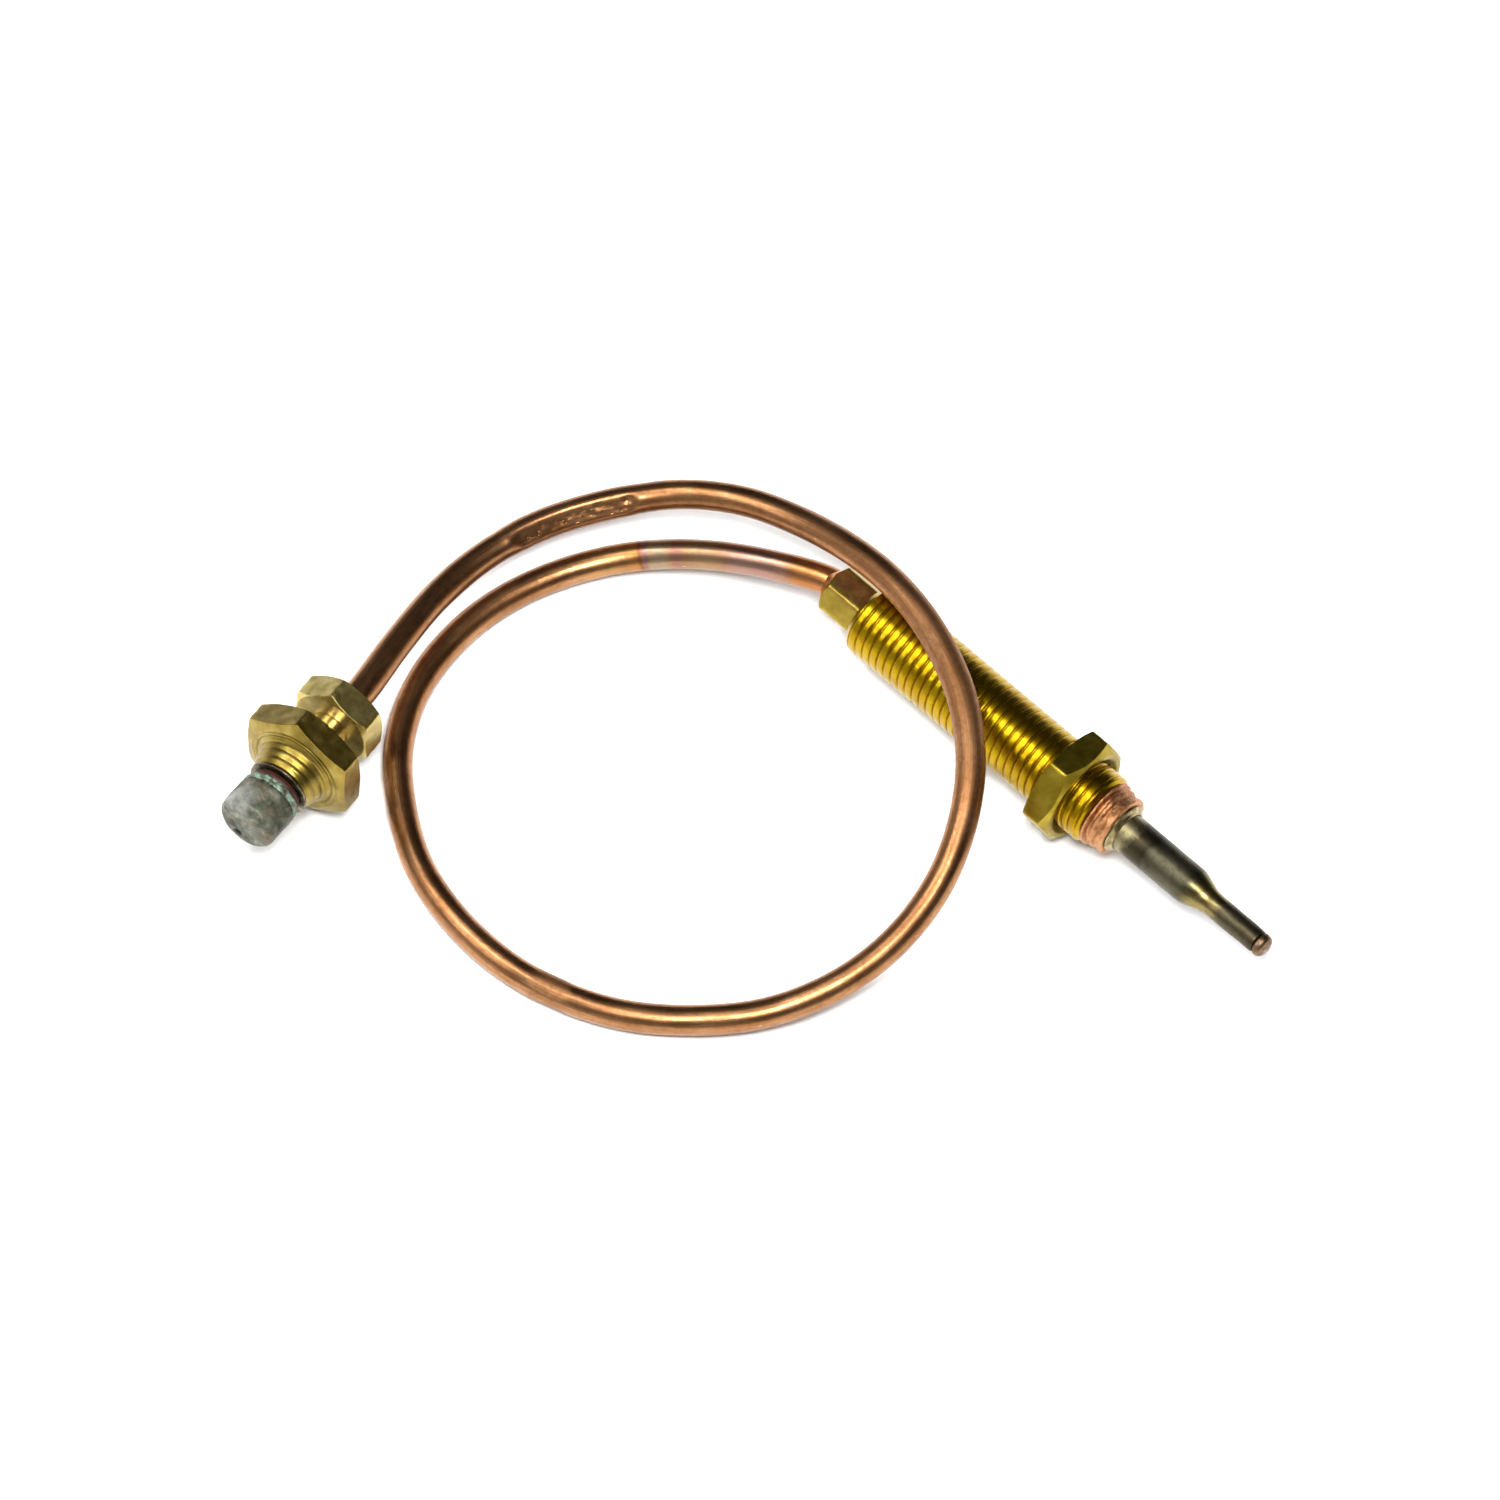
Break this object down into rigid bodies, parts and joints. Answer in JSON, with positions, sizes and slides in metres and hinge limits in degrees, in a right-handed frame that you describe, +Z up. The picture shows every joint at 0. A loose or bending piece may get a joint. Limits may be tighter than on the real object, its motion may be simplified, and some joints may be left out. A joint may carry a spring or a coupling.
{
  "type": "gas thermocouple",
  "caption": "Gas-safety thermocouple: threaded probe holder with locknut, copper lead in one loop, and a screwed cold-end connector with a solder contact.",
  "frame": {"origin": "on the table under the middle of the hot end, on the probe's axis seen from above", "axes": "+X along the probe's axis towards its hot tip, +Z up from the table the part lies on, +Y away from the lead's loop"},
  "size_m": [0.0914, 0.0696, 0.0141],
  "materials": {
    "bright_brass": "satin",
    "dull_brass": "satin",
    "copper": "satin",
    "probe_steel": "satin",
    "constantan": "satin",
    "glass_fibre": "matte",
    "red_fibre": "matte",
    "solder": "matte"
  },
  "bodies": {
    "thermocouple": {"threaded_sleeve": "bright_brass", "rear_ferrule": "dull_brass", "rear_braze_ring": "copper", "front_collar": "copper", "front_braze_ring": "dull_brass", "probe_sheath": "probe_steel", "hot_junction_bead": "probe_steel", "core_wire": "constantan", "core_sleeving": "glass_fibre", "splice_sleeve": "bright_brass", "splice_tail": "copper", "lead_tube": "copper", "lead_insulation": "glass_fibre", "lead_wire": "copper", "terminal_body": "dull_brass", "insulating_washer": "red_fibre", "contact_cup": "dull_brass", "contact_wire": "copper", "solder_tip": "solder"},
    "locknut": {"locknut": "dull_brass"},
    "thrust_washer": {"thrust_washer": "bright_brass"},
    "connection_nut": {"connection_nut": "dull_brass"}
  },
  "joints": [
    {"name": "locknut_turn", "type": "hinge", "parent": "thermocouple", "child": "locknut", "pos_m": [0.00355, 0, 0.00598], "axis": [1, 0, 0], "continuous": true},
    {"name": "connection_slide", "type": "slide", "parent": "thermocouple", "child": "thrust_washer", "axis": [0.173, -0.9811, 0.0872], "range_m": [-0.003, 0]},
    {"name": "connection_nut_turn", "type": "hinge", "parent": "thrust_washer", "child": "connection_nut", "pos_m": [-0.0542, -0.0528, 0.00711], "axis": [0.173, -0.9811, 0.0872], "continuous": true}
  ]
}
